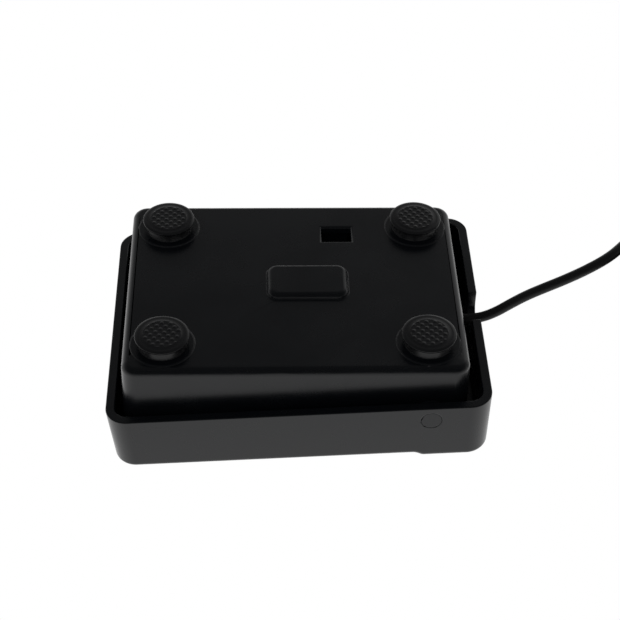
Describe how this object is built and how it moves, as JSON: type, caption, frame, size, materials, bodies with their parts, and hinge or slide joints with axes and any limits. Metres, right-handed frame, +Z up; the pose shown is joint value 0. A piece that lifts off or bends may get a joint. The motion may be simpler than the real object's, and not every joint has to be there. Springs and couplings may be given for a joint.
{
  "type": "foot pedal switch",
  "caption": "Foot pedal switch: a hollow tread cover hinged on a low tray with round rubber feet, a micro switch on a board inside and a thin data cable with its plug.",
  "frame": {"origin": "on the floor under the middle of the cover, with the pedal standing on its feet", "axes": "+X across, +Y along the length towards the hinge and the cable, +Z up out of the tread"},
  "size_m": [0.113, 0.1978, 0.0356],
  "materials": {
    "cover_plastic": "fine satin black moulding",
    "tray_plastic": "fine satin black moulding",
    "foot_rubber": "black rubber with a chequered tread",
    "pin_plastic": "smooth black",
    "spring_steel": "bright spring wire",
    "board_laminate": "green solder mask",
    "screw_steel": "zinc plated",
    "chip_black": "matt epoxy",
    "crystal_metal": "satin can",
    "capacitor_sleeve": "printed-free dark sleeve",
    "switch_black": "glass filled black",
    "plunger_white": "natural white",
    "terminal_tin": "tinned",
    "socket_white": "natural white",
    "core_red": "soft insulation",
    "core_white": "soft insulation",
    "core_green": "soft insulation",
    "core_black": "soft insulation",
    "cable_jacket": "smooth soft black jacket",
    "grommet_rubber": "matt black",
    "clamp_plastic": "black",
    "tie_fabric": "woven hook-and-loop strap",
    "plug_plastic": "satin overmould",
    "plug_steel": "nickel plated",
    "tongue_white": "natural white",
    "contact_gold": "gold plated"
  },
  "bodies": {
    "tray": {"base_tray": "tray_plastic", "foot_toe_left": "foot_rubber", "foot_toe_right": "foot_rubber", "foot_hinge_left": "foot_rubber", "foot_hinge_right": "foot_rubber", "return_spring_left": "spring_steel", "return_spring_right": "spring_steel", "circuit_board": "board_laminate", "board_screws": "screw_steel", "controller_chip": "chip_black", "timing_crystal": "crystal_metal", "board_capacitors": "capacitor_sleeve", "micro_switch_case": "switch_black", "switch_terminals": "terminal_tin", "wire_socket": "socket_white", "wire_plug": "socket_white", "wire_core_power": "core_red", "wire_core_data_minus": "core_white", "wire_core_data_plus": "core_green", "wire_core_ground": "core_black", "cable_inner_run": "cable_jacket", "cable_clamp": "clamp_plastic", "clamp_screws": "screw_steel", "cable_grommet": "grommet_rubber", "cable_run": "cable_jacket", "cable_coil": "cable_jacket", "cable_tail": "cable_jacket", "cable_tie": "tie_fabric", "usb_plug_body": "plug_plastic", "usb_plug_shell": "plug_steel", "usb_plug_tongue": "tongue_white", "usb_plug_contacts": "contact_gold"},
    "pedal": {"pedal_shell": "cover_plastic", "hinge_pin_left": "pin_plastic", "hinge_pin_right": "pin_plastic"},
    "plunger": {"switch_plunger": "plunger_white"}
  },
  "joints": [
    {"name": "pedal_hinge", "type": "hinge", "parent": "tray", "child": "pedal", "pos_m": [0, 0.0341, 0.0177], "axis": [1, 0, 0], "range_deg": [0, 3.4], "stiffness_Nm_per_rad": 2, "springref_deg": -5.73, "deforming": ["return_spring_left", "return_spring_right"]},
    {"name": "switch_plunge", "type": "slide", "parent": "tray", "child": "plunger", "axis": [0, 0, -1], "range_m": [0, 0.00076]}
  ],
  "couplings": [
    {"joint": "switch_plunge", "follows": "pedal_hinge", "m_per_rad": 0.0126}
  ]
}
